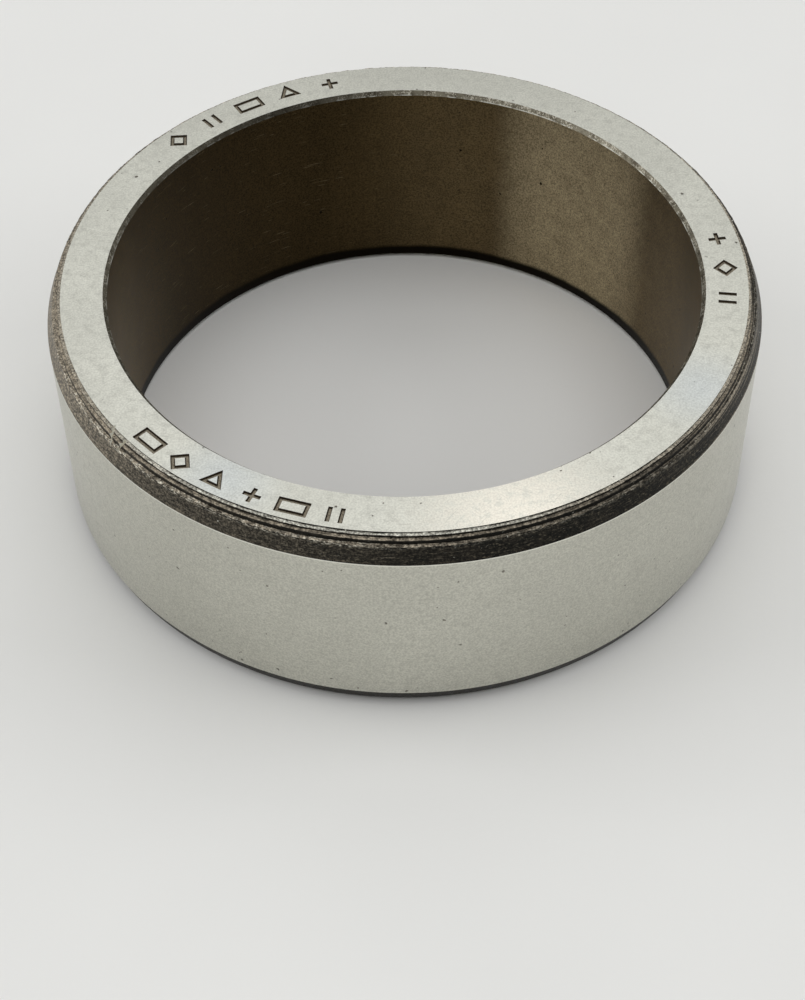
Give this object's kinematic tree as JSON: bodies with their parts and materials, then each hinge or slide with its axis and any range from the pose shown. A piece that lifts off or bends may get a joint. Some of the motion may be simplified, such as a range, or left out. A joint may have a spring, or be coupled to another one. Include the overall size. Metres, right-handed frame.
{
  "type": "bearing inner ring",
  "caption": "Separable ribless inner ring of a cylindrical roller bearing, with a straight bore, ground raceway and stepped lead-in corner.",
  "frame": {"origin": "centre of the bore at the plain lower face, which the ring rests on", "axes": "+Z along the bore axis, from the plain face towards the stamped face"},
  "size_m": [0.0604, 0.0604, 0.02],
  "materials": {
    "bearing_steel": "ground satin steel on the raceway and faces, dark as-turned corners and tarnished bore"
  },
  "bodies": {
    "root": {"inner_ring": "bearing_steel"}
  },
  "joints": []
}
